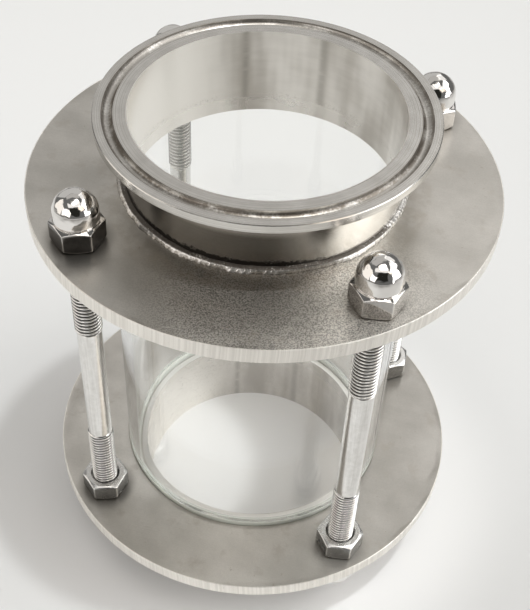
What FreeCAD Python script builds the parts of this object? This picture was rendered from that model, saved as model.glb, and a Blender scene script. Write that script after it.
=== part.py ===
"""Clamp sight glass: a glass tube held between two round plates by four tie rods.

Each plate has a welded clamp ferrule on its outer side. The bore runs along +Z, and the origin is
the centre of the lower ferrule's sealing face, on which the sight glass stands.
"""
import FreeCAD, Part
import math
import os

# Driving dimensions, in millimetres and degrees

# Glass tube
glass_diameter = 85.0
glass_wall = 3.0
glass_length = 100.0
glass_edge_break = 0.4

# Seal rings, one pressed between each end of the glass and its plate
seal_thickness = 2.0
seal_width = 3.6
seal_edge_break = 0.2
seal_recess_depth = 0.5
seal_recess_clearance = 0.3

# End plates
plate_diameter = 130.0
plate_thickness = 4.5
plate_edge_break = 0.25
bolt_circle_offset = 1.35
bolt_hole_clearance = 0.5

# Clamp ferrules
bore_diameter = 72.9
tube_wall = 1.65
ferrule_length = 21.5
rim_diameter = 91.0
rim_edge_height = 2.5
rim_taper_angle = 20.0
rim_edge_break = 0.2
neck_fillet_radius = 1.8
groove_pitch_diameter = 83.3
groove_radius = 1.5

# Weld beads between ferrule and plate
weld_leg = 2.4
weld_crown = 0.45
weld_clearance = 0.05

# Tie rods, with a rolled thread at each end and a thinner shank between
thread_diameter = 7.9
shank_diameter = 7.2
thread_below_plate = 29.5
thread_runout = 0.6
rod_end_chamfer = 0.8
rod_in_cap_nut = 9.0

# Nuts
thread_clearance = 0.15
nut_across_flats = 13.0
nut_height = 6.5
nut_chamfer_angle = 30.0
nut_bearing_share = 0.94
countersink_depth = 0.5
cap_nut_height = 15.0
dome_diameter = 12.2
dome_relief_depth = 0.3
dome_relief_height = 0.45
cap_bore_depth = 11.0
drill_point_angle = 118.0

# Corner names, counted round the bolt circle from the first, and how far each nut ended up turned
corner_names = ("front_left", "front_right", "back_right", "back_left")
first_corner_angle = -135.0
top_cap_turns = (-9.0, -19.0, 12.0, -14.0)
hex_nut_turns = (-10.0, -21.0, 5.0, 17.0)
bottom_cap_turns = (4.0, -13.0, 22.0, -6.0)

# Values worked out from the driving dimensions
up = FreeCAD.Vector(0, 0, 1)
bore_radius = bore_diameter / 2
tube_radius = bore_radius + tube_wall
rim_radius = rim_diameter / 2
plate_radius = plate_diameter / 2
glass_radius = glass_diameter / 2
bolt_circle_radius = (glass_radius + plate_radius) / 2 + bolt_circle_offset
thread_radius = thread_diameter / 2
shank_radius = shank_diameter / 2
nut_bore_radius = thread_radius + thread_clearance
bolt_hole_radius = thread_radius + bolt_hole_clearance
nut_flat_radius = nut_across_flats / 2
nut_corner_radius = nut_flat_radius / math.cos(math.radians(30))
bearing_radius = nut_flat_radius * nut_bearing_share
nut_chamfer_rise = (nut_corner_radius - bearing_radius) * math.tan(math.radians(nut_chamfer_angle))

lower_plate_base = ferrule_length
lower_plate_top = lower_plate_base + plate_thickness
lower_seal_base = lower_plate_top - seal_recess_depth
glass_base = lower_seal_base + seal_thickness
middle = glass_base + glass_length / 2
upper_plate_top = 2 * middle - lower_plate_base


def point(radius, height):
    """A point of a turned outline, in the XZ plane."""
    return FreeCAD.Vector(radius, 0, height)


def turned(outline):
    """Solid of revolution about Z. Outline corners are (radius, height) or (radius, height, rounding)."""
    edges = []
    ends = []
    for i, corner in enumerate(outline):
        here = point(corner[0], corner[1])
        rounding = corner[2] if len(corner) > 2 else 0
        if not rounding:
            ends.append((here, here))
            continue
        before = point(*outline[i - 1][:2]) - here
        after = point(*outline[(i + 1) % len(outline)][:2]) - here
        half_angle = before.getAngle(after) / 2
        before.normalize()
        after.normalize()
        reach = rounding / math.tan(half_angle)
        inward = before + after
        inward.normalize()
        middle_point = here + inward * (rounding / math.sin(half_angle) - rounding)
        start, end = here + before * reach, here + after * reach
        edges.append(Part.Arc(start, middle_point, end).toShape())
        ends.append((start, end))
    for i, (_, leaving) in enumerate(ends):
        arriving = ends[(i + 1) % len(ends)][0]
        edges.append(Part.LineSegment(leaving, arriving).toShape())
    wire = Part.Wire(Part.__sortEdges__(edges))
    return Part.Face(wire).revolve(FreeCAD.Vector(0, 0, 0), up, 360)


def raised(shape, height):
    """The shape moved up to a height."""
    return shape.translated(up * height)


def other_end(shape):
    """The same piece at the opposite end of the sight glass."""
    return shape.mirror(up * middle, up)


def corner_place(index):
    """Centre of a tie rod, a little outside the middle of the land between the glass and the plate's rim."""
    angle = math.radians(first_corner_angle + 360 / len(corner_names) * index)
    return FreeCAD.Vector(bolt_circle_radius * math.cos(angle), bolt_circle_radius * math.sin(angle), 0)


# End plates

def lower_plate():
    """Plate with a bore, four bolt holes and a shallow recess that locates the seal ring."""
    plate = turned([
        (bore_radius, 0),
        (plate_radius - plate_edge_break, 0),
        (plate_radius, plate_edge_break),
        (plate_radius, plate_thickness - plate_edge_break),
        (plate_radius - plate_edge_break, plate_thickness),
        (bore_radius, plate_thickness),
    ])
    recess_outer = glass_radius + seal_recess_clearance
    recess_inner = glass_radius - seal_width - seal_recess_clearance
    recess = turned([
        (recess_inner, plate_thickness - seal_recess_depth),
        (recess_outer, plate_thickness - seal_recess_depth),
        (recess_outer, plate_thickness + seal_recess_depth),
        (recess_inner, plate_thickness + seal_recess_depth),
    ])
    cuts = [recess]
    for index in range(len(corner_names)):
        cuts.append(Part.makeCylinder(bolt_hole_radius, plate_thickness, corner_place(index)))
    return raised(plate.cut(cuts), lower_plate_base)


# Clamp ferrules

def lower_ferrule():
    """Short tube whose flared rim has a flat sealing face, a gasket groove and a clamp taper behind it."""
    taper_rise = (rim_radius - tube_radius) * math.tan(math.radians(rim_taper_angle))
    body = turned([
        (bore_radius, 0),
        (rim_radius - rim_edge_break, 0),
        (rim_radius, rim_edge_break),
        (rim_radius, rim_edge_height - rim_edge_break),
        (rim_radius - rim_edge_break, rim_edge_height),
        (tube_radius, rim_edge_height + taper_rise, neck_fillet_radius),
        (tube_radius, ferrule_length),
        (bore_radius, ferrule_length),
    ])
    return body.cut(Part.makeTorus(groove_pitch_diameter / 2, groove_radius))


# Weld beads

def lower_weld_bead():
    """Crowned fillet of weld metal in the corner between the ferrule's tube and the plate."""
    inner = tube_radius + weld_clearance
    crown = weld_leg / 2 + weld_crown
    start = point(inner + weld_leg, 0)
    crest = point(inner + crown, -crown)
    end = point(inner, -weld_leg)
    root = point(inner, 0)
    wire = Part.Wire([
        Part.LineSegment(root, start).toShape(),
        Part.Arc(start, crest, end).toShape(),
        Part.LineSegment(end, root).toShape(),
    ])
    bead = Part.Face(wire).revolve(FreeCAD.Vector(0, 0, 0), up, 360)
    return raised(bead, lower_plate_base)


# Glass tube and seals

def glass_tube():
    """Glass tube with its ground edges broken."""
    inner = glass_radius - glass_wall
    top = glass_length
    return raised(turned([
        (inner + glass_edge_break, 0),
        (glass_radius - glass_edge_break, 0),
        (glass_radius, glass_edge_break),
        (glass_radius, top - glass_edge_break),
        (glass_radius - glass_edge_break, top),
        (inner + glass_edge_break, top),
        (inner, top - glass_edge_break),
        (inner, glass_edge_break),
    ]), glass_base)


def lower_seal():
    """Flat ring with its outer edges broken, under the end of the glass."""
    inner = glass_radius - seal_width
    return raised(turned([
        (inner, 0),
        (glass_radius - seal_edge_break, 0),
        (glass_radius, seal_edge_break),
        (glass_radius, seal_thickness - seal_edge_break),
        (glass_radius - seal_edge_break, seal_thickness),
        (inner, seal_thickness),
    ]), lower_seal_base)


# Tie rods

def tie_rod():
    """Stud with a thread at each end that reaches into both cap nuts."""
    low = lower_plate_base - rod_in_cap_nut
    thread_top = lower_plate_top + thread_below_plate
    low_half = [
        (0, low),
        (thread_radius - rod_end_chamfer, low),
        (thread_radius, low + rod_end_chamfer),
        (thread_radius, thread_top),
        (shank_radius, thread_top + thread_runout),
    ]
    high_half = [(radius, 2 * middle - height) for radius, height in reversed(low_half)]
    return turned(low_half + high_half)


# Nuts

def hexagon(height, turn):
    """Hexagonal prism, with one flat facing the turn angle."""
    corners = []
    for side in range(7):
        angle = math.radians(turn + 30 + 60 * side)
        corners.append(FreeCAD.Vector(
            nut_corner_radius * math.cos(angle), nut_corner_radius * math.sin(angle), 0))
    return Part.Face(Part.makePolygon(corners)).extrude(up * height)


def hexagon_blank(turn):
    """Hexagon with both ends chamfered, as a nut is turned before it is tapped."""
    chamfers = turned([
        (0, 0),
        (bearing_radius, 0),
        (nut_corner_radius, nut_chamfer_rise),
        (nut_corner_radius, nut_height - nut_chamfer_rise),
        (bearing_radius, nut_height),
        (0, nut_height),
    ])
    return hexagon(nut_height, turn).common(chamfers)


def countersink(height, direction):
    """Cone that opens the mouth of a tapped hole, widest at the given height."""
    wide = nut_bore_radius + countersink_depth
    cone = Part.makeCone(wide, nut_bore_radius, countersink_depth)
    if direction < 0:
        cone = cone.mirror(FreeCAD.Vector(0, 0, 0), up)
    return raised(cone, height)


def hex_nut(turn):
    """Hexagon nut with a through hole and two countersinks."""
    hole = Part.makeCylinder(nut_bore_radius, nut_height)
    return hexagon_blank(turn).cut([hole, countersink(0, 1), countersink(nut_height, -1)])


def cap_nut(turn):
    """Domed nut: hexagon, relief groove, round dome and a blind drilled hole."""
    dome_radius = dome_diameter / 2
    relief_radius = dome_radius - dome_relief_depth
    spring_height = cap_nut_height - dome_radius
    relief_top = nut_height + dome_relief_height
    shoulder = turned([
        (0, nut_height),
        (relief_radius, nut_height),
        (relief_radius, relief_top),
        (dome_radius, relief_top + dome_relief_depth),
        (dome_radius, spring_height),
        (0, spring_height),
    ])
    dome = Part.makeSphere(dome_radius, FreeCAD.Vector(0, 0, spring_height), up, 0, 90, 360)
    drill_point = nut_bore_radius / math.tan(math.radians(drill_point_angle / 2))
    hole = turned([
        (0, 0),
        (nut_bore_radius, 0),
        (nut_bore_radius, cap_bore_depth - drill_point),
        (0, cap_bore_depth),
    ])
    solid = hexagon_blank(turn).fuse([shoulder, dome]).removeSplitter()
    return solid.cut([hole, countersink(0, 1)])


def write(name, shape):
    """One STEP file for each piece."""
    shape.exportStep("parts/" + name + ".step")


os.makedirs("parts", exist_ok=True)

for piece_name, lower_piece in (
    ("plate", lower_plate()),
    ("ferrule", lower_ferrule()),
    ("weld_bead", lower_weld_bead()),
    ("seal_ring", lower_seal()),
):
    write("bottom_" + piece_name, lower_piece)
    write("top_" + piece_name, other_end(lower_piece))

write("glass_tube", glass_tube())

for index, corner in enumerate(corner_names):
    place = corner_place(index)
    write("tie_rod_" + corner, tie_rod().translated(place))
    write("hex_nut_" + corner, raised(hex_nut(hex_nut_turns[index]), lower_plate_top).translated(place))
    top_cap = raised(cap_nut(top_cap_turns[index]), upper_plate_top)
    write("top_cap_nut_" + corner, top_cap.translated(place))
    bottom_cap = other_end(raised(cap_nut(bottom_cap_turns[index]), upper_plate_top))
    write("bottom_cap_nut_" + corner, bottom_cap.translated(place))
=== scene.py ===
"""Looks of a clamp sight glass: a glass tube held between two welded clamp flanges by four tie rods.

The sections follow the order in which the object is put together, from the plates to the cap nuts,
and then come the floor, the camera and the light. Lengths are in metres, with MM for millimetres.
"""
import math
import bmesh
import bpy
import numpy as np
from mathutils import Matrix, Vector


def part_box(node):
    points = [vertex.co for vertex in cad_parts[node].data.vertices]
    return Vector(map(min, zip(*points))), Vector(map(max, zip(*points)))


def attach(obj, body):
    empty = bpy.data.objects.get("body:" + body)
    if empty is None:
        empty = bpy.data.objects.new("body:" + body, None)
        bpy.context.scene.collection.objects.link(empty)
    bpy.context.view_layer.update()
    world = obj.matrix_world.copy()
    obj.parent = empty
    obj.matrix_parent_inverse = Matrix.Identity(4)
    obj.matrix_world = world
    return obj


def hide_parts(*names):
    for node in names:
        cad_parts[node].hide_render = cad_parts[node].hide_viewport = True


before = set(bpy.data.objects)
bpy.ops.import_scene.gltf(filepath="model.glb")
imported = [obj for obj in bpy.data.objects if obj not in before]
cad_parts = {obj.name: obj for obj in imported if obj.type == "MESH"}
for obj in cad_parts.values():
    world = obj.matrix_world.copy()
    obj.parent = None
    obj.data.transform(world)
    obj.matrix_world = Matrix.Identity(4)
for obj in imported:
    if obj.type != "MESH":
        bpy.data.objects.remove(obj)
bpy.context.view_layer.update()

# End plates
# Two discs cut by laser from cold-rolled stainless sheet, its smooth grey skin worn to the grain in
# one place. The beam leaves upright ridges on the rim and a ragged burr along its edges. Each disc
# has a bore, four bolt holes and, on the glass side, a shallow recess for the seal ring.

MM = 0.001
FULL_TURN = 2 * math.pi
CORNERS = ("front_left", "front_right", "back_right", "back_left")

plate_low, plate_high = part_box("bottom_plate")
plate_radius = plate_high.x
plate_thickness = plate_high.z - plate_low.z
upper_plate_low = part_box("top_plate")[0].z
bore_radius = 36.45 * MM
recess_radii = (38.6 * MM, 42.8 * MM)
recess_depth = 0.5 * MM
hole_radius = 4.45 * MM
inner_land_radius = 44 * MM
face_rows = 12
hole_rows = 6
rim_rows = 9
rim_band = 0.4 * MM
rim_columns = 2160
ridge_pitch = 0.38 * MM
ridge_depth = 0.045 * MM
beam_trail = 0.004
burr_height = 0.17 * MM
burr_waves = 60
edge_break = 0.12 * MM


class Socket:
    """An output of a node. Arithmetic with it adds Math nodes, or Vector Math nodes for vectors."""

    def __init__(self, tree, output=None):
        self.tree = tree
        self.output = output

    @staticmethod
    def pick(sockets, key):
        """The socket with that index, identifier or name."""
        if isinstance(key, int):
            return sockets[key]
        same = [s for s in sockets if s.identifier == key] or [s for s in sockets if s.name == key]
        return same[0]

    def node(self, kind, settings=None, sockets=None, output=0):
        """Adds a node, makes its settings, then fills its sockets, and gives one of its outputs."""
        node = self.tree.nodes.new(kind)
        for name, value in (settings or {}).items():
            setattr(node, name, value)
        for key, value in (sockets or {}).items():
            socket = self.pick(node.inputs, key)
            if isinstance(value, Socket):
                self.tree.links.new(value.output, socket)
            else:
                socket.default_value = value
        return Socket(self.tree, self.pick(node.outputs, output) if node.outputs else None)

    def maths(self, operation, *values):
        """A Math node for numbers, or a Vector Math node where one value is a vector or a colour."""
        sockets = [v.output.type for v in values if isinstance(v, Socket)]
        if set(sockets) <= {"VALUE"} and not any(isinstance(v, tuple) for v in values):
            return self.node("ShaderNodeMath", {"operation": operation}, dict(enumerate(values)))
        spread = [(v,) * 3 if isinstance(v, (int, float)) else v for v in values]
        return self.node("ShaderNodeVectorMath", {"operation": operation}, dict(enumerate(spread)))

    def __add__(self, other):
        return self.maths("ADD", self, other)

    __radd__ = __add__

    def __mul__(self, other):
        return self.maths("MULTIPLY", self, other)

    __rmul__ = __mul__

    def __sub__(self, other):
        return self.maths("SUBTRACT", self, other)

    def __rsub__(self, other):
        return self.maths("SUBTRACT", other, self)

    def __truediv__(self, other):
        return self.maths("DIVIDE", self, other)

    def off(self, value):
        """Distance of this number from a value."""
        return self.maths("ABSOLUTE", self - value)

    def axis(self, letter):
        """One coordinate of this vector."""
        return self.node("ShaderNodeSeparateXYZ", {}, {"Vector": self}, letter)

    def from_axis(self):
        """Distance of this point from the Z axis."""
        flat = self * (1.0, 1.0, 0.0)
        return self.node("ShaderNodeVectorMath", {"operation": "LENGTH"}, {0: flat}, "Value")

    def along(self, way):
        """How far this point lies along a direction."""
        sockets = {0: self, 1: tuple(way)}
        return self.node("ShaderNodeVectorMath", {"operation": "DOT_PRODUCT"}, sockets, "Value")

    def step(self, low, high):
        """0 below low and 1 above high, with a soft step between. A high under low turns it round."""
        ends = {"From Min": min(low, high), "From Max": max(low, high)}
        rise = {"To Min": float(low > high), "To Max": float(low < high)}
        smooth = {"interpolation_type": "SMOOTHSTEP"}
        return self.node("ShaderNodeMapRange", smooth, {"Value": self, **ends, **rise})

    def mix(self, first, second):
        """The first colour where this mask is 0 and the second where it is 1."""
        colours = [(*c, 1) if isinstance(c, tuple) else c for c in (first, second)]
        ends = {"Factor_Float": self, "A_Color": colours[0], "B_Color": colours[1]}
        return self.node("ShaderNodeMix", {"data_type": "RGBA"}, ends, "Result_Color")

    def noise(self, size, detail=2.0, roughness=0.5):
        """Soft noise from 0 to 1. The size of its blobs is a length, or one for each axis."""
        sizes = size if isinstance(size, tuple) else (size,) * 3
        place = self * tuple(1 / s for s in sizes)
        sockets = {"Vector": place, "Scale": 1.0, "Detail": detail, "Roughness": roughness}
        return self.node("ShaderNodeTexNoise", {}, sockets, "Fac")

    def shade(self):
        """The mesh's own shade, a number at each point that its maker gives to add_mesh."""
        return self.node("ShaderNodeAttribute", {"attribute_name": "shade"}, output="Fac")


def bore_colour(place):
    """Colour of the polished bore: soft upright streaks, faint smears round it, painted highlight on
    the left.
    """
    drawn = place.noise((8 * MM, 8 * MM, 40 * MM), 2.0)
    rubbed = place.noise((9 * MM, 9 * MM, 2.2 * MM), 2.0)
    streaks = (drawn * 0.85 + rubbed * 0.15).step(0.3, 0.7)
    streaks = streaks.mix((0.49, 0.46, 0.42), (0.77, 0.74, 0.70))
    # Painted highlight: the bore is painted paler where X is below about -14 mm
    return place.axis("X").step(-14 * MM, -31 * MM).mix(streaks, (0.93, 0.90, 0.85))


def new_material(name):
    """An empty material, and the object coordinates on which its patterns are drawn."""
    material = bpy.data.materials.new(name)
    material.use_nodes = True
    material.node_tree.nodes.clear()
    return material, Socket(material.node_tree).node("ShaderNodeTexCoord", output="Object")


def finish_material(place, sockets, heights=()):
    """Adds the surface shader. Each height is in metres, and its bump lies on the one before."""
    for height in heights:
        bump = {"Height": height, "Distance": 1.0}
        if "Normal" in sockets:
            bump["Normal"] = sockets["Normal"]
        sockets = {**sockets, "Normal": place.node("ShaderNodeBump", {}, bump)}
    shader = place.node("ShaderNodeBsdfPrincipled", {}, sockets)
    place.node("ShaderNodeOutputMaterial", {}, {"Surface": shader})


def polar(angle, radius, height):
    """Points at an angle round the Z axis, a distance from it and a height."""
    return np.stack(np.broadcast_arrays(radius * np.cos(angle), radius * np.sin(angle), height), -1)


def wander(angle, count, seed):
    """Soft noise round a circle: random values at count places, joined by smooth steps, and closed."""
    values = np.random.default_rng(seed).uniform(-1, 1, count)
    at = angle / FULL_TURN * count
    place = np.floor(at).astype(int)
    part = at - place
    part = part * part * (3 - 2 * part)
    return values[place % count] * (1 - part) + values[(place + 1) % count] * part


def add_mesh(name, patches, material, sharp_degrees=30, shades=None):
    """One closed mesh. A patch is a grid of points, and quads join its neighbouring rows and columns.

    The shades are grids of numbers, one for each point, that the material may read.
    """
    faces = []
    first = 0
    for patch in patches:
        index = first + np.arange(patch.shape[0] * patch.shape[1]).reshape(patch.shape[:2])
        quads = np.stack([index[:-1, :-1], index[1:, :-1], index[1:, 1:], index[:-1, 1:]], -1)
        faces.append(quads.reshape(-1, 4))
        first += index.size
    mesh = bpy.data.meshes.new(name)
    mesh.from_pydata(np.concatenate([p.reshape(-1, 3) for p in patches]), [], np.concatenate(faces))
    if shades is not None:
        values = [np.broadcast_to(s, p.shape[:2]).ravel() for s, p in zip(shades, patches)]
        attribute = mesh.attributes.new("shade", "FLOAT", "POINT")
        attribute.data.foreach_set("value", np.concatenate(values).astype(np.float32))
    merged = bmesh.new()
    merged.from_mesh(mesh)
    bmesh.ops.remove_doubles(merged, verts=merged.verts, dist=0.0005 * MM)
    bmesh.ops.recalc_face_normals(merged, faces=merged.faces)
    merged.to_mesh(mesh)
    merged.free()
    mesh.shade_smooth()
    mesh.set_sharp_from_angle(angle=math.radians(sharp_degrees))
    mesh.materials.append(material)
    piece = bpy.data.objects.new(name, mesh)
    bpy.context.scene.collection.objects.link(piece)
    return piece


def rim_patch(seed):
    """Rim of a disc, from the ferrule side to the glass side, and how deep each point is cut, 0 to 1.

    The radius is the disc's, less a cut whose depth is noise in the angle. The noise trails
    backwards with the square of the height, as the beam does. Both edges rise and fall with a burr.
    """
    angle = np.linspace(-math.pi, math.pi, rim_columns + 1)[None, :]
    wall = np.linspace(edge_break, plate_thickness - edge_break, rim_rows)
    height = np.concatenate([[0, 0], wall, [plate_thickness] * 2])[:, None]
    inset = np.concatenate([[rim_band, edge_break], wall * 0, [edge_break, rim_band]])[:, None]
    trail = beam_trail * (height / plate_thickness) ** 2
    count = round(FULL_TURN * plate_radius / ridge_pitch)
    ridges = 0.5 * wander(angle + trail, count, seed)
    ridges = ridges + 0.5 * wander(angle + trail, 2 * count, seed + 1)
    on_wall = (inset < rim_band) * 1.0
    cut = (ridges * 0.5 + 0.5) * ridge_depth * on_wall
    burr = wander(angle, 2 * count, seed + 2) + wander(angle, burr_waves, seed + 3)
    burr = np.clip(burr, 0, 2) / 2 * burr_height
    at_edge = np.where(inset == edge_break, np.where(height > 0, 1.0, -1.0), 0.0)
    rim = polar(angle, plate_radius - inset - cut, height + burr * at_edge)
    return rim, cut / ridge_depth


def inner_ring_patch():
    """Bore, its two lands and the seal recess, as one outline turned about the axis."""
    low, high = recess_radii
    top = plate_thickness
    outline = np.array([
        (inner_land_radius, 0), (bore_radius, 0), (bore_radius, top), (low, top),
        (low, top - recess_depth), (high, top - recess_depth), (high, top), (inner_land_radius, top),
    ])
    angle = np.linspace(-math.pi, math.pi, rim_columns // 4 + 1)[None, :]
    return polar(angle, outline[:, :1], outline[:, 1:])


def quarter_patches(corner_angle, bolt_radius):
    """Faces of a quarter of the disc round its bolt hole, and the hole's wall.

    On a chart of angle and radius, straight lines run from the hole's edge to the border of the
    quarter, which is a rectangle there. Points lie at even shares along each line.
    """
    side = FULL_TURN / 8
    low, high = inner_land_radius, plate_radius - rim_band
    along = np.linspace(-side, side, rim_columns // 4 + 1)
    coarse = along[::4]
    across = np.linspace(low, high, face_rows + 1)
    edge = np.full(face_rows, side)
    turn = np.concatenate([coarse, edge, along[::-1][1:], -edge])
    inner, outer = np.full(len(coarse), low), np.full(len(along) - 1, high)
    reach = np.concatenate([inner, across[1:], outer, across[::-1][1:]])
    bearing = np.arctan2(turn * bolt_radius, reach - bolt_radius)
    hole_x = bolt_radius + hole_radius * np.cos(bearing)
    hole_y = hole_radius * np.sin(bearing)
    share = np.linspace(0, 1, hole_rows)[:, None]
    angle = np.arctan2(hole_y, hole_x) * (1 - share) + turn * share
    radius = np.hypot(hole_x, hole_y) * (1 - share) + reach * share
    faces = [polar(corner_angle + angle, radius, height) for height in (0, plate_thickness)]
    return faces + [np.stack([faces[0][0], faces[1][0]])]


rods = {corner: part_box("tie_rod_" + corner) for corner in CORNERS}
painted_dim_centre = (4 * MM, -45 * MM, 0.0)
worn_patch = (19 * MM, -48 * MM, 0.0)
heat_radius = 44.5 * MM
painted_shade_colour = (0.20, 0.185, 0.165)
plate_steel, place = new_material("plate_mill_finish")
from_axis = place.from_axis()
on_rim = from_axis.step(plate_radius - 0.35 * MM, plate_radius - 0.25 * MM)
on_bore = from_axis.step(bore_radius + 0.15 * MM, bore_radius + 0.05 * MM)
clouds = place.noise(18 * MM, 4.0)
grain = place.noise(0.38 * MM, 2.0, 0.7).step(0.38, 0.62)
upper = place.axis("Z").step(plate_high.z + 20 * MM, plate_high.z + 40 * MM)
# Painted shade: a dark patch on the upper plate in front of the ferrule neck stands for the neck's
# dark reflection
painted_dimming = (place - painted_dim_centre).from_axis().step(36 * MM, 6 * MM) * upper
worn = (place - worn_patch).from_axis().step(44 * MM, 18 * MM) * upper
coarse_grain = (worn * 0.93 + 0.07) * grain
rolling = place.noise((14 * MM, 0.25 * MM, 14 * MM), 3.0, 0.6)
stains = place.noise(7 * MM, 5.0, 0.6).step(0.56, 0.7)
spots = place.noise(1.6 * MM, 2.0, 0.6).step(0.70, 0.76)
height = place.axis("Z")
glass_side = height.step(plate_high.z - 0.5 * MM, plate_high.z - 0.2 * MM)
glass_side = glass_side * height.step(upper_plate_low + 0.5 * MM, upper_plate_low + 0.2 * MM)
heat = from_axis.step(heat_radius + 2.2 * MM, heat_radius) * place.noise(3 * MM, 3.0).step(0.35, 0.6)
heat = heat * (1 - glass_side)
mill_skin = (clouds * 0.88 + rolling * 0.12).step(0.28, 0.72)
face_colour = mill_skin.mix((0.48, 0.46, 0.425), (0.64, 0.615, 0.575))
# Painted light and shade: the lower plate is painted lighter to the left and darker to the right
lower_side_shade = 1.12 - place.axis("X").step(15 * MM, 45 * MM) * 0.22
face_colour = upper.mix(face_colour * lower_side_shade, face_colour)
face_colour = (painted_dimming * 0.85).mix(face_colour, painted_shade_colour)
face_colour = face_colour * (1 + coarse_grain * 0.8 - worn * 0.35)
face_colour = (stains * 0.35).mix(face_colour, (0.44, 0.40, 0.35))
face_colour = (heat * 0.22 + spots * 0.35).mix(face_colour, (0.33, 0.28, 0.22))
# Absolute coordinates lay all four bolts over the one at back right
bolt = (rods["back_right"][0] + rods["back_right"][1]) / 2
off_nut = (place.maths("ABSOLUTE", place) - (bolt.x, bolt.y, 0.0)).from_axis()
# Painted shadow: a dark ring on the plates round each nut, stronger on the left
nut_shadow = off_nut.step(10.5 * MM, 6.5 * MM) * (0.75 - place.axis("X").step(-20 * MM, 20 * MM) * 0.4)
face_colour = nut_shadow.mix(face_colour, painted_shade_colour)
ridges = place.shade().step(0.15, 0.85) * 0.6 + spots * 0.4
ridge_colour = ridges.mix((0.93, 0.90, 0.85), (0.72, 0.69, 0.64))
face_colour = on_bore.mix(face_colour, bore_colour(place))
# Painted highlight: the land between the bore and the seal recess is painted nearly white
inner_land_highlight = glass_side * from_axis.step(recess_radii[0] - 0.2 * MM, recess_radii[0] - 0.4 * MM)
face_colour = (inner_land_highlight * (1 - on_bore)).mix(face_colour, (0.97, 0.96, 0.93))
flat_face = 1 - on_bore
finish_material(place, {
    "Base Color": on_rim.mix(face_colour, ridge_colour),
    "Metallic": 1.0,
    "Roughness": 0.28 + clouds * 0.14 + on_rim * 0.12 - on_bore * 0.08,
}, [flat_face * coarse_grain * (0.045 * MM), flat_face * rolling * (0.0008 * MM)])

for end, seed in (("bottom", 11), ("top", 21)):
    low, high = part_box(end + "_plate")
    rim, cut_depth = rim_patch(seed)
    patches = [rim, inner_ring_patch()]
    for rod_low, rod_high in rods.values():
        middle = (rod_low + rod_high) / 2
        patches += quarter_patches(math.atan2(middle.y, middle.x), math.hypot(middle.x, middle.y))
    base, direction = (low.z, 1) if end == "bottom" else (high.z, -1)
    patches = [p * (1, 1, direction) + (0, 0, base) for p in patches]
    shades = [cut_depth] + [0.0] * (len(patches) - 1)
    plate = add_mesh(end + "_plate_laser_cut", patches, plate_steel, shades=shades)
    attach(plate, "root")
    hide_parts(end + "_plate")

# Clamp ferrules
# Short tubes turned from stainless bar, each with a flared rim that has a flat sealing face, a
# gasket groove and a clamp taper behind it. The tool leaves fine rings, and the bore is polished.

groove_middle = 41.65 * MM
upper_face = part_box("top_ferrule")[1].z
lower_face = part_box("bottom_ferrule")[0].z
ring_pitch = (0.30 * MM, 0.45 * MM)
dark_streak_places = (-15.1 * MM, 6.9 * MM)
grime_and_shade_colour = (0.15, 0.125, 0.10)
soot_and_shade_colour = (0.028, 0.024, 0.02)

ferrule_steel, place = new_material("ferrule_turned_steel")
from_axis = place.from_axis()
height = place.axis("Z")
rings = from_axis * (1 / ring_pitch[0]) + height * (1 / ring_pitch[1])
ring_noise = {"W": rings, "Scale": 1.0, "Detail": 3.0}
tool_marks = place.node("ShaderNodeTexNoise", {"noise_dimensions": "1D"}, ring_noise, "Fac")
smudges = place.noise(7 * MM, 5.0, 0.6)
rubbed = place.noise((9 * MM, 9 * MM, 2.2 * MM), 2.0)
speckle = place.noise(0.5 * MM, 1.0)
in_bore = from_axis.step(bore_radius + 0.4 * MM, bore_radius + 0.2 * MM)
near_upper_face = height.step(upper_face - 2 * MM, upper_face - 1.2 * MM)
near_face = near_upper_face + height.step(lower_face + 2 * MM, lower_face + 1.2 * MM)
past_inner_edge = from_axis.step(groove_middle - 1.9 * MM, groove_middle - 1.2 * MM)
in_groove = past_inner_edge * from_axis.step(groove_middle + 1.8 * MM, groove_middle + 1.3 * MM)
inner_slope = in_groove * from_axis.step(groove_middle - 0.2 * MM, groove_middle - 0.7 * MM)
# Grime in the gasket groove, plus painted shade: the groove's inner slope is painted as a darker line
grime_and_groove_shade = in_groove * (smudges * 0.7 + speckle * 0.3).step(0.34, 0.56)
grime_and_groove_shade = near_face * (grime_and_groove_shade * 0.7 + inner_slope * smudges.step(0.36, 0.50) * 0.3)
flakes = place.noise((1.1 * MM, 1.1 * MM, 0.9 * MM), 3.0, 0.7)
in_front = place.axis("Y").step(5 * MM, -25 * MM) * place.axis("X").step(34 * MM, 14 * MM)
over_weld = height.step(upper_face - 16.9 * MM, upper_face - 19.4 * MM) * (1 - in_bore)
# Soot flecks above the weld, kept to the front of the neck, where their near black is also painted
# dark reflection
dark_flecks = (flakes * 0.45 + smudges * 0.3 + over_weld * 0.25 + in_front * 0.12).step(0.60, 0.70)
dark_flecks = dark_flecks * in_front * over_weld.step(0.0, 0.3)
on_neck = height.step(upper_face - 9 * MM, upper_face - 11 * MM)
steel_colour = (smudges * 0.4 + tool_marks * 0.6).step(0.1, 0.9)
steel_colour = steel_colour.mix((0.50, 0.48, 0.445), (0.84, 0.82, 0.785))
# Painted reflection: below the upper ferrule's rim the outside is painted dark on the left and near
# white on the right
neck_painted_light = place.axis("X").step(10 * MM, 29 * MM).mix((0.25, 0.235, 0.21), (0.97, 0.95, 0.91))
steel_colour = (on_neck * 0.85).mix(steel_colour, neck_painted_light)
near_plate = height.step(upper_face - 19 * MM, upper_face - 21 * MM) * rubbed.step(0.3, 0.6)
across = place.axis("X")
wall_colour = bore_colour(place)
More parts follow.
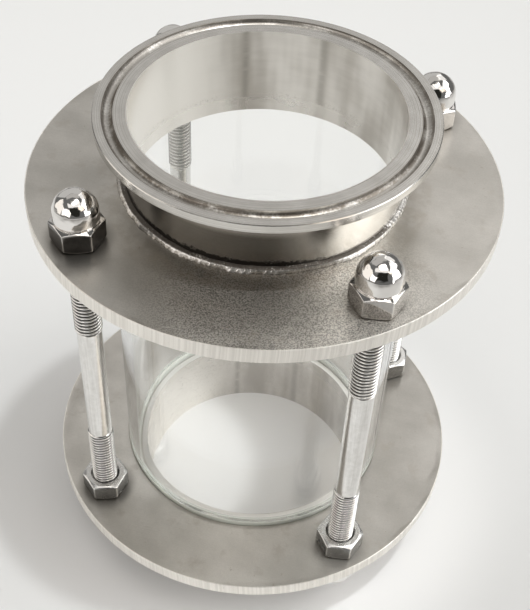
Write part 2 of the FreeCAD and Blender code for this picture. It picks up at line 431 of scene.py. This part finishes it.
# Dark upright streaks at two places on the back of the bore
dark_streaks = across.off(dark_streak_places[0]).step(1.5 * MM, 0.0)
dark_streaks = dark_streaks + across.off(dark_streak_places[1]).step(2.0 * MM, 0.2 * MM)
dark_streaks = dark_streaks * place.axis("Y").step(0.0, 10 * MM) * rubbed.step(0.2, 0.5)
wall_colour = (dark_streaks * 0.5).mix(wall_colour, (0.30, 0.28, 0.25))
wall_colour = (near_plate * speckle.step(0.50, 0.70) * 0.4).mix(wall_colour, (0.40, 0.37, 0.33))
steel_colour = in_bore.mix(steel_colour, wall_colour)
steel_colour = (grime_and_groove_shade * 0.9).mix(steel_colour, grime_and_shade_colour)
roughness = 0.15 + (1 - in_bore) * smudges * 0.12 + in_bore * 0.13
finish_material(place, {
    "Base Color": (dark_flecks * 0.94).mix(steel_colour, soot_and_shade_colour),
    "Metallic": 1.0,
    "Roughness": roughness + dark_flecks * 0.3 + in_groove * near_face * 0.15,
}, [(1 - in_bore) * tool_marks * (0.006 * MM), (1 - in_bore) * speckle * (0.004 * MM)])
for end in ("bottom", "top"):
    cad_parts[end + "_ferrule"].data.materials[0] = ferrule_steel

# Weld beads
# Stainless filler laid by hand round the foot of each ferrule, in overlapping puddles that are
# broader on one side. Heat has left a black line at the toe of the bead and a straw tint beside it.

bead_low, bead_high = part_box("bottom_weld_bead")
bead_radius = bead_high.x
bead_leg = bead_high.z - bead_low.z
foot_share = 0.64
toe_share = 0.80
broad_side = 0.42
bead_crown = 0.34 * MM
puddle_pitch = 1.5 * MM
puddle_height = 0.16 * MM
puddle_lag = 0.9
pace_drift = 0.35
bead_rows = 15
foot_raggedness = (0.14, 0.07)
toe_raggedness = 0.08


def bead_patch(seed):
    """Bead between plate and ferrule, and how far across it each point lies, 0 to 1.

    A section is carried round the axis. It runs from the foot on the plate to the toe on the tube,
    along the corner's diagonal plus a half sine for the crown. Each puddle rises slowly and ends in
    a steep step that lags at the edges of the bead. Noise in the angle makes the bead wider and
    narrower, and a power of a cosine adds to its foot on the side away from +X.
    """
    angle = np.linspace(-math.pi, math.pi, rim_columns + 1)[None, :]
    share = np.linspace(0, 1, bead_rows)[:, None]
    lag = puddle_lag * (2 * share - 1) ** 2
    count = round(FULL_TURN * bead_radius / puddle_pitch)
    phase = angle / FULL_TURN * count + lag + pace_drift * wander(angle, 40, seed)
    puddle = 1 - (phase - np.floor(phase))
    strong = 0.55 + 0.45 * wander(angle, 9, seed + 1)
    swell = np.sin(math.pi * share)
    lift = swell * (bead_crown + puddle_height * strong * (puddle - 0.5))
    coarse, fine = foot_raggedness
    ragged = coarse * (1 + wander(angle, 70, seed + 2)) + fine * wander(angle, 260, seed + 4)
    spread = foot_share + broad_side * (0.5 - 0.5 * np.cos(angle)) ** 4
    spread = spread - ragged * np.cos(math.pi * share / 2) ** 2
    ragged = toe_raggedness * (1 + wander(angle, 90, seed + 3))
    climb = toe_share - ragged * np.sin(math.pi * share / 2) ** 2
    inner = bead_radius - bead_leg
    out = bead_leg * (1 - share) * spread + lift * math.sqrt(0.5)
    rise = bead_leg * share * climb + lift * math.sqrt(0.5)
    top = polar(angle, inner + out, rise)
    root = polar(angle, np.full((1, 1), inner), np.zeros((1, 1)))
    across = np.broadcast_to(share, top.shape[:2])
    return np.concatenate([root, top, root]), np.concatenate([across[:1], across, across[-1:]])


weld_steel, place = new_material("weld_bead_metal")
across_bead = place.shade()
dark_flecks = place.noise((0.6 * MM, 0.6 * MM, 3 * MM), 3.0, 0.7)
patches_of_soot = place.noise(8 * MM, 2.0)
specks = place.noise(0.5 * MM, 3.0, 0.7)
in_front = place.axis("Y").step(5 * MM, -25 * MM)
sooty = (dark_flecks * 0.5 + patches_of_soot * 0.25 + in_front * 0.25).step(0.46, 0.58)
tube_toe = across_bead.step(0.42, 0.62) * sooty
plate_toe = across_bead.step(0.16, 0.04) * dark_flecks.step(0.35, 0.55)
bead_colour = specks.step(0.3, 0.7).mix((0.58, 0.55, 0.51), (0.98, 0.96, 0.93))
finish_material(place, {
    "Base Color": (tube_toe * 0.9 + plate_toe * 0.7).mix(bead_colour, (0.09, 0.075, 0.06)),
    "Metallic": 1.0,
    "Roughness": 0.26 + specks * 0.18 + tube_toe * 0.2,
}, [specks * (0.02 * MM)])
for end, seed in (("bottom", 31), ("top", 41)):
    low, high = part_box(end + "_weld_bead")
    base, direction = (high.z, -1) if end == "bottom" else (low.z, 1)
    puddles, across = bead_patch(seed)
    puddles = puddles * (1, 1, direction) + (0, 0, base)
    bead = add_mesh(end + "_weld_puddles", [puddles], weld_steel, shades=[across])
    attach(bead, "root")
    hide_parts(end + "_weld_bead")

# Seal rings
# Flat rings punched from milky silicone rubber sheet. One lies in each plate's recess, and the
# glass presses on it.

seal_rubber, place = new_material("seal_silicone")
cloudy = place.noise(3 * MM, 3.0)
finish_material(place, {
    "Base Color": cloudy.mix((0.56, 0.58, 0.53), (0.68, 0.70, 0.65)),
    "Roughness": 0.42 + cloudy * 0.1,
    "Subsurface Weight": 0.4,
    "Subsurface Radius": (0.002, 0.002, 0.002),
    "Subsurface Scale": 1.0,
}, [cloudy * (0.02 * MM)])
for end in ("bottom", "top"):
    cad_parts[end + "_seal_ring"].data.materials[0] = seal_rubber

# Glass tube
# Drawn borosilicate tube with ground and fire-polished ends, clear but for faint smears. The rods
# pull the plates together on it, and nothing else holds it.

clear_glass, place = new_material("glass_clear")
smears = place.noise((6 * MM, 6 * MM, 22 * MM), 4.0, 0.55)
finish_material(place, {
    "Base Color": smears.mix((0.985, 0.99, 0.98), (0.995, 1.0, 0.995)),
    "Roughness": smears.step(0.55, 0.8) * 0.04,
    "Transmission Weight": 1.0,
    "IOR": 1.47,
})
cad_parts["glass_tube"].data.materials[0] = clear_glass
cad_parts["glass_tube"].visible_shadow = False

# Tie rods
# Stainless studs with a coarse M8 thread rolled on each end. Rolling pushes the crests out past the
# bare shank, which keeps the thinner drawn diameter and a satin skin.

rod_low, rod_high = rods["front_left"]
crest_radius = (rod_high.x - rod_low.x) / 2
thread_pitch = 1.25 * MM
thread_depth = 0.72 * MM
shank_radius = 3.6 * MM
thread_length = plate_high.z + 29.5 * MM - rod_low.z
runout_length = 1.1 * MM
crest_share = 0.20
root_share = 0.16
flank_share = 0.35
rod_chamfer = 0.8 * MM
rows_per_pitch = 14
rod_columns = 56
shank_rows = 10


def rod_patch():
    """Stud along Z, centred on its own axis, and how deep in the thread each point is, 0 to 1.

    The radius depends on the turn since the last crest, which is height over pitch less angle over
    a full turn: full on the crest, a cosine slope down each flank and a rounded root. Towards the
    shank, the thread fades into the shank's radius, and at the ends a chamfer limits it.
    """
    low, high = rod_low.z, rod_high.z
    angle = np.linspace(0, FULL_TURN, rod_columns + 1)[None, :]
    rows = round(thread_length / thread_pitch * rows_per_pitch)
    threaded = np.linspace(low, low + thread_length, rows)
    shank = np.linspace(low + thread_length, high - thread_length, shank_rows + 2)[1:-1]
    height = np.concatenate([threaded, shank, np.linspace(high - thread_length, high, rows)])[:, None]
    phase = height / thread_pitch - angle / FULL_TURN
    from_crest = 2 * np.abs(phase - np.round(phase))
    slope = np.clip((from_crest - crest_share) / (1 - crest_share - root_share), 0, 1)
    rounded = 0.5 - 0.5 * np.cos(math.pi * slope)
    sunk = thread_depth * (flank_share * slope + (1 - flank_share) * rounded)
    from_end = np.minimum(height - low, high - height)
    fade = np.clip((thread_length - from_end) / runout_length, 0, 1)
    fade = fade * fade * (3 - 2 * fade)
    radius = shank_radius * (1 - fade) + (crest_radius - sunk) * fade
    radius = np.minimum(radius, crest_radius - rod_chamfer + from_end)
    body = polar(angle, radius, height)
    poles = [polar(angle, np.zeros((1, 1)), np.full((1, 1), z)) for z in (low, high)]
    depth = sunk / thread_depth * fade
    return np.concatenate([poles[0], body, poles[1]]), np.concatenate([depth[:1], depth, depth[-1:]])


rod_steel, place = new_material("rod_rolled_steel")
streaks = place.noise((0.6 * MM, 0.6 * MM, 14 * MM), 3.0, 0.6)
wear = place.noise(1.4 * MM, 4.0, 0.6)
root = place.shade().step(0.12, 0.55)
# Painted light: the rods at the back are painted nearly white, and the back left rod, seen through the
# glass, an even dimmer grey
at_back = place.axis("Y").step(0.0, 30 * MM)
painted_dimming = at_back * place.axis("X").step(10 * MM, -10 * MM)
skin = (wear * 0.4 + streaks * 0.6).step(0.2, 0.8).mix((0.66, 0.645, 0.62), (0.96, 0.95, 0.93))
skin = (at_back * 0.7).mix(skin, (0.93, 0.93, 0.915))
skin = painted_dimming.mix(skin, (0.72, 0.71, 0.69))
# Painted shade: the thread roots are painted near black, less at the back and on the back left rod
thread_root_shade = root * (0.92 - at_back * 0.6 - painted_dimming * 0.16)
finish_material(place, {
    "Base Color": thread_root_shade.mix(skin, (0.07, 0.065, 0.058)),
    "Metallic": 1.0,
    "Roughness": 0.13 + wear * 0.08 + root * 0.2,
}, [wear * (0.004 * MM)])
stud, depth = rod_patch()
for corner, (low, high) in rods.items():
    middle = (low + high) / 2
    rod = add_mesh("threaded_rod_" + corner, [stud + (middle.x, middle.y, 0)], rod_steel, 70, [depth])
    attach(rod, "root")
    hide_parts("tie_rod_" + corner)

# Hexagon nuts
# Plain stainless nuts on the glass side of the lower plate, one on each rod. Both ends are
# chamfered on a lathe and all edges are a little rounded. Their flats are painted dark as shade,
# with scuffs from handling, and their edges and upper chamfers are painted pale as highlights.

apothem = 6.5 * MM
corner_radius = apothem / math.cos(math.radians(30))
nut_height = 6.5 * MM
bearing_radius = 0.92 * apothem
chamfer_rise = (corner_radius - bearing_radius) * math.tan(math.radians(30))
tapped_radius = 4.1 * MM
countersink = 0.5 * MM
edge_round = 0.14 * MM
edge_highlight = 0.8
nut_row = 0.14 * MM
nut_columns = 168
hex_nut_turns = {"front_left": -10, "front_right": -21, "back_right": 5, "back_left": 17}


def lesser(first, second, rounding):
    """The smaller of two radii, with the edge between them rounded: their mean less half the root
    of the squared difference plus the squared rounding."""
    return (first + second - np.sqrt((first - second) ** 2 + (2 * rounding) ** 2)) / 2


def nut_patch(outline, turn):
    """A turned outline of radius and height, held inside a hexagon with one flat facing the turn.

    A flat's radius is the apothem over the cosine of the angle from the flat's middle. The points
    come with a shade: 0 on the flats, 0.8 on their edges and the upper chamfer as a painted
    highlight, and 1 on a dome.
    """
    outline = np.array(outline)
    lengths = np.hypot(*np.diff(outline, axis=0).T)
    rows = [np.linspace(a, b, max(round(d / nut_row), 1), endpoint=False)
            for a, b, d in zip(outline[:-1], outline[1:], lengths)]
    radius, height = np.concatenate(rows + [outline[-1:]]).T[..., None]
    angle = np.linspace(0, FULL_TURN, nut_columns + 1)[None, :]
    sixth = FULL_TURN / 6
    off_flat = np.abs(np.mod(angle - math.radians(turn) + sixth / 2, sixth) - sixth / 2)
    flats = apothem / np.cos(off_flat), apothem / np.cos(sixth - off_flat)
    hexagon = lesser(*flats, edge_round)
    inside = radius < bearing_radius - 2 * edge_round
    off_edge = np.minimum(flats[1] - flats[0], np.abs(radius - hexagon) + (height < nut_height / 2))
    shade = np.clip(edge_highlight - off_edge / (3 * edge_round), 0, 1)
    shade = np.where((radius < hexagon) & (height > nut_height / 2), edge_highlight, shade)
    shade = np.where(height > nut_height, 1.0, shade)
    return polar(angle, np.where(inside, radius, lesser(radius, hexagon, edge_round)), height), shade


past_corner = corner_radius + 0.2 * MM
flank = [
    (tapped_radius + countersink, 0), (bearing_radius, 0), (past_corner, chamfer_rise),
    (past_corner, nut_height - chamfer_rise), (bearing_radius, nut_height),
]
tapped_hole = [
    (tapped_radius + countersink, nut_height), (tapped_radius, nut_height - countersink),
    (tapped_radius, countersink),
]
hex_outline = [(tapped_radius, countersink)] + flank + tapped_hole
nut_steel, place = new_material("nut_plain_steel")
wear = place.noise(1.6 * MM, 4.0, 0.6)
scuffs = place.noise((0.4 * MM, 0.4 * MM, 3 * MM), 2.0).step(0.6, 0.75)
flat_colour = (wear * 0.7 + scuffs * 0.3).mix((0.14, 0.14, 0.137), (0.34, 0.34, 0.33))
# Painted highlights: the shade paints edges and upper chamfers pale against the dark flats
finish_material(place, {
    "Base Color": place.shade().mix(flat_colour, (0.90, 0.89, 0.87)),
    "Metallic": 1.0,
    "Roughness": 0.20 + wear * 0.12,
}, [wear * (0.01 * MM)])
nut_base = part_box("bottom_plate")[1].z
for corner, (low, high) in rods.items():
    middle = (low + high) / 2
    points, shade = nut_patch(hex_outline, hex_nut_turns[corner])
    points = points + (middle.x, middle.y, nut_base)
    nut = add_mesh("plain_nut_" + corner, [points], nut_steel, 50, [shade])
    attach(nut, "root")
    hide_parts("hex_nut_" + corner)

# Cap nuts
# Domed nuts, cold-formed from stainless steel and polished like a mirror, with shallow dents in the
# dome. A relief groove parts it from the hexagon. One nut closes each end of each rod.

cap_height = 15 * MM
dome_radius = 6.1 * MM
relief_radius = 5.8 * MM
relief_height = 0.45 * MM
spring_height = cap_height - dome_radius
bore_depth = 9.2 * MM
cap_turns = {
    "top": {"front_left": -9, "front_right": -19, "back_right": 12, "back_left": -14},
    "bottom": {"front_left": 4, "front_right": -13, "back_right": 22, "back_left": -6},
}
dome_rows = 24
over_dome = np.radians(np.linspace(0, 90, dome_rows + 1))
cap_outline = [(0, bore_depth), (tapped_radius, bore_depth), (tapped_radius, countersink)] + flank + [
    (relief_radius, nut_height), (relief_radius, nut_height + relief_height),
    (dome_radius, nut_height + relief_height + dome_radius - relief_radius),
] + [(dome_radius * math.cos(a), spring_height + dome_radius * math.sin(a)) for a in over_dome]
polished_steel, place = new_material("nut_mirror_polish")
wear = place.noise(2.2 * MM, 4.0, 0.6)
dents = place.noise(2.6 * MM, 1.0)
# Painted shade: the flats of the nuts on the left are painted far darker than those on the right, and
# edges and upper chamfers pale as highlights
left_nut_shade = place.axis("X").step(20 * MM, -20 * MM)
right_nut_flat_colour = wear.mix((0.34, 0.325, 0.31), (0.60, 0.58, 0.56))
flat_colour = left_nut_shade.mix(right_nut_flat_colour, wear.mix((0.06, 0.057, 0.053), (0.18, 0.172, 0.165)))
finish_material(place, {
    "Base Color": place.shade().mix(flat_colour, (0.82, 0.80, 0.775)),
    "Metallic": 1.0,
    "Roughness": 0.05 + wear * 0.06,
}, [place.shade() * dents * (0.24 * MM), wear * (0.006 * MM)])
seats = (("top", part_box("top_plate")[1].z, 1), ("bottom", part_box("bottom_plate")[0].z, -1))
for corner, (low, high) in rods.items():
    middle = (low + high) / 2
    for end, face, direction in seats:
        points, shade = nut_patch(cap_outline, cap_turns[end][corner])
        points = points * (1, 1, direction) + (middle.x, middle.y, face)
        nut = add_mesh(f"{end}_domed_nut_{corner}", [points], polished_steel, 50, [shade])
        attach(nut, "root")
        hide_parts(f"{end}_cap_nut_{corner}")

# Floor
# A wide sheet of pale matt board, painted lighter round the object where its shadows fall, painted
# darker towards the right front as shade, and dimmer far off. It isn't part of the object, and the
# lower sealing face stands on it.

floor_half_width = 3.0
floor_paint, place = new_material("floor_pale_board")
shaded = place.axis("X").step(0.0, 120 * MM) * place.axis("Y").step(90 * MM, -70 * MM)
painted_light_near_object = place.from_axis().step(100 * MM, 50 * MM)
far_off = place.from_axis().step(250 * MM, 1100 * MM)
board_colour = shaded.mix((0.75, 0.755, 0.755), (0.61, 0.61, 0.605))
board_colour = far_off.mix(board_colour, (0.30, 0.295, 0.29))
finish_material(place, {
    "Base Color": painted_light_near_object.mix(board_colour, (0.97, 0.97, 0.97)),
    "Roughness": 0.7,
    "Specular IOR Level": 0.2,
})
across = np.linspace(-floor_half_width, floor_half_width, 3)
grid = np.stack(np.meshgrid(across, across), -1)
board = np.concatenate([grid, np.zeros(grid.shape[:2] + (1,))], -1)
floor = add_mesh("floor", [board], floor_paint)

# Camera
# It stands in front, a little to the right, and looks down on the object. The angles and the
# distance come from a fit to the circles of the plates and the rim.

IMAGE_WIDTH, IMAGE_HEIGHT = 530, 610
focal_pixels = 1124.33
axis_pixel = (247.01, 362.39)
image_centre = ((IMAGE_WIDTH - 1) / 2, (IMAGE_HEIGHT - 1) / 2)
camera_distance = 311.37 * MM
camera_elevation = math.radians(38.718)
camera_azimuth = math.radians(-76.529)
camera_yaw = math.radians(-0.435)
camera_pitch = math.radians(-9.525)
camera_roll = math.radians(2.655)
aim = np.array([0, 0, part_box("top_plate")[1].z])


def turned_towards(first, second, angle):
    """Two directions at right angles, both turned by an angle in their own plane."""
    return (math.cos(angle) * first + math.sin(angle) * second,
            math.cos(angle) * second - math.sin(angle) * first)


back = polar(camera_azimuth, math.cos(camera_elevation), math.sin(camera_elevation))
right = np.array([-math.sin(camera_azimuth), math.cos(camera_azimuth), 0])
ahead, right_axis = turned_towards(-back, right, camera_yaw)
ahead, up_axis = turned_towards(ahead, np.cross(right, -back), camera_pitch)
right_axis, up_axis = turned_towards(right_axis, up_axis, camera_roll)
lens = bpy.data.cameras.new("camera")
lens.lens = focal_pixels * lens.sensor_width / IMAGE_HEIGHT
lens.shift_x = (image_centre[0] - axis_pixel[0]) / IMAGE_HEIGHT
lens.shift_y = (axis_pixel[1] - image_centre[1]) / IMAGE_HEIGHT
lens.clip_start = 0.01
camera = bpy.data.objects.new("camera", lens)
matrix = np.eye(4)
matrix[:3] = np.stack([right_axis, up_axis, -ahead, aim + back * camera_distance], 1)
camera.matrix_world = Matrix(matrix)
bpy.context.scene.collection.objects.link(camera)
bpy.context.scene.camera = camera

# Light
# A pale room at daytime, which the steel reflects: a window and a bright wall on the right, one lamp
# and panels overhead, dimmer walls elsewhere and a dark doorway in front. The camera itself sees a
# plain grey backdrop past the floor. Azimuth 0 is the camera's side and 90 its right, in degrees.

lamp_azimuth = 88
lamp_elevation = 77
lamp_width = 3.5
lamp_strength = 0.75
lamp_colour = (0.97, 1.0, 1.0)
room_colour = (0.15, 0.15, 0.147)
backdrop_colour = (0.43, 0.425, 0.415)
wall_edge = 0.03
# Azimuth, elevation, width and height in degrees, strength over the room's own, and colour
walls = {
    "window": (94, 42, 44, 30, 2.4, (1.0, 1.0, 0.99)),
    "right_wall": (76, 14, 42, 26, 3.2, (0.99, 1.0, 1.01)),
    "left_wall": (275, 20, 50, 40, 0.95, (1.06, 1.0, 0.93)),
    "front_left_wall": (322, 20, 34, 26, 1.7, (1.04, 1.0, 0.96)),
    "back_wall": (196, 24, 64, 46, 0.41, (1.02, 1.0, 0.97)),
    "back_window": (148, 42, 30, 30, 0.85, (1.02, 1.0, 0.98)),
    "back_ceiling": (200, 62, 50, 28, 0.35, (1.04, 1.0, 0.95)),
    "ceiling_panel": (38, 80, 30, 26, 1.9, (1.05, 1.0, 0.93)),
    "front_ceiling": (0, 66, 60, 22, 0.9, (1.03, 1.0, 0.97)),
    "right_ceiling": (51, 42, 18, 18, 1.1, (1.15, 1.0, 0.85)),
    "dark_doorway": (4, 35, 46, 36, -0.13, (1.0, 1.0, 1.0)),
}


def outlook(azimuth, elevation):
    """Directions from the object towards a place in the room, along its horizon, and upwards there."""
    turn = camera_azimuth + math.radians(azimuth)
    rise = math.radians(elevation)
    outward = polar(turn, math.cos(rise), math.sin(rise))
    side = np.cross((0, 0, 1), outward)
    side = side / np.linalg.norm(side)
    return outward, side, np.cross(outward, side)


outward, side, upward = outlook(lamp_azimuth, lamp_elevation)
light = bpy.data.lights.new("lamp_overhead", "SUN")
light.angle = math.radians(lamp_width)
light.energy = lamp_strength
light.color = lamp_colour
lamp = bpy.data.objects.new("lamp_overhead", light)
matrix = np.eye(4)
matrix[:3] = np.stack([side, upward, outward, outward], 1)
lamp.matrix_world = Matrix(matrix)
bpy.context.scene.collection.objects.link(lamp)

world = bpy.data.worlds.new("room")
world.use_nodes = True
world.node_tree.nodes.clear()
bpy.context.scene.world = world
direction = Socket(world.node_tree).node("ShaderNodeTexCoord", output="Generated")
room = room_colour
for azimuth, elevation, width, height, strength, colour in walls.values():
    ahead_of, across, upwards = [direction.along(way) for way in outlook(azimuth, elevation)]
    patch = ahead_of.step(0.0, 0.1)
    for offset, extent in ((across, width), (upwards, height)):
        reach = math.tan(math.radians(extent / 2))
        patch = patch * (offset / ahead_of).off(0.0).step(reach + wall_edge, reach - wall_edge)
    room = patch * tuple(c * strength for c in colour) + room
seen = direction.node("ShaderNodeLightPath", output="Is Camera Ray")
view = seen.mix(room, backdrop_colour)
background = direction.node("ShaderNodeBackground", {}, {"Color": view, "Strength": 1.0})
direction.node("ShaderNodeOutputWorld", {}, {"Surface": background})
bpy.context.scene.view_settings.view_transform = "Standard"
